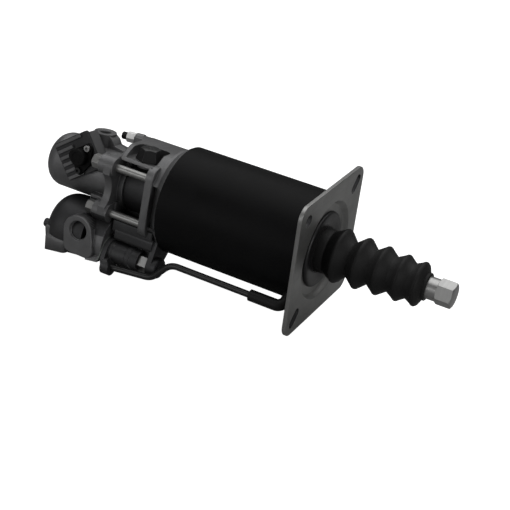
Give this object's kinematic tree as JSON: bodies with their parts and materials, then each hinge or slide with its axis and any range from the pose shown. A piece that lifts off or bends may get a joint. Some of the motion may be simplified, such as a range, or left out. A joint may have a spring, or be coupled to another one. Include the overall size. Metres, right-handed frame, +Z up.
{
  "type": "clutch servo",
  "caption": "Air assisted hydraulic clutch servo: square mounting plate, black air cylinder, push rod in rubber bellows, cast control valve and breather pipe.",
  "frame": {"origin": "centre of the mounting plate's front face, on the push rod's axis", "axes": "+X out of the plate along the push rod, +Z up with the plate's edges level, -Y to the side with the breather pipe and the air port"},
  "size_m": [0.442, 0.1364, 0.1539],
  "materials": {
    "plate_steel": "dull zinc coated steel",
    "tube_paint": "black satin paint",
    "rear_casting": "as cast and blasted",
    "dark_casting": "as cast, darker",
    "machined_aluminium": "turned",
    "bright_steel": "zinc coated",
    "ground_steel": "ground",
    "spring_steel": "oiled spring steel",
    "black_rubber": "matt black rubber",
    "seal_rubber": "black nitrile rubber",
    "black_steel": "black coated steel",
    "black_plastic": "black plastic",
    "bearing_plastic": "filled bearing plastic",
    "bronze": "bearing bronze",
    "gasket_sheet": "gasket sheet",
    "brass_seat": "turned brass"
  },
  "bodies": {
    "housing": {"mounting_flange": "plate_steel", "cylinder_tube": "tube_paint", "tube_nipple": "black_steel", "bellows_retainer": "black_steel", "bellows": "black_rubber", "guide_bush": "bronze", "rod_seal": "seal_rubber", "return_spring": "spring_steel", "plunger_bush": "bronze", "tube_seals": "seal_rubber", "rear_head": "rear_casting", "inlet_plug": "black_steel", "hydraulic_cylinder": "dark_casting", "cylinder_seal": "seal_rubber", "long_bolts": "bright_steel", "bolt_washers": "bright_steel", "valve_housing": "rear_casting", "rear_cap": "rear_casting", "exhaust_gasket": "gasket_sheet", "exhaust_cover": "dark_casting", "exhaust_cap": "black_plastic", "cover_screws": "bright_steel", "valve_gasket": "gasket_sheet", "valve_end_cover": "dark_casting", "valve_cover_screws": "bright_steel", "transfer_fitting": "bright_steel", "control_spring": "spring_steel", "valve_seat": "brass_seat", "valve_spring": "spring_steel", "breather_pipe": "black_steel", "pipe_elbow": "black_rubber"},
    "rod_assembly": {"push_rod": "ground_steel", "rod_end": "bright_steel", "air_piston": "machined_aluminium", "piston_seal": "seal_rubber", "piston_guide_ring": "bearing_plastic", "piston_nut": "bright_steel", "hydraulic_plunger": "ground_steel", "plunger_seal": "seal_rubber"},
    "bleed_valve": {"bleed_screw": "bright_steel", "bleed_cap": "black_rubber"},
    "control_valve": {"control_piston": "machined_aluminium", "control_seal": "seal_rubber"},
    "inlet_poppet": {"inlet_valve": "brass_seat"}
  },
  "joints": [
    {"name": "rod_slide", "type": "slide", "parent": "housing", "child": "rod_assembly", "axis": [1, 0, 0], "range_m": [-0.04, 0.02], "deforming": ["bellows", "return_spring"]},
    {"name": "bleed_turn", "type": "hinge", "parent": "housing", "child": "bleed_valve", "pos_m": [-0.232, 0.02134, 0.03689], "axis": [-0.9848, -0.172, 0.0242], "range_deg": [0, 180]},
    {"name": "control_slide", "type": "slide", "parent": "housing", "child": "control_valve", "axis": [1, 0, 0], "range_m": [0, 0.0015], "stiffness_N_per_m": 400, "deforming": ["control_spring"]},
    {"name": "inlet_slide", "type": "slide", "parent": "housing", "child": "inlet_poppet", "axis": [1, 0, 0], "range_m": [0, 0.0015], "stiffness_N_per_m": 300, "deforming": ["valve_spring"]}
  ],
  "couplings": [
    {"joint": "inlet_slide", "follows": "control_slide", "ratio": 1}
  ]
}
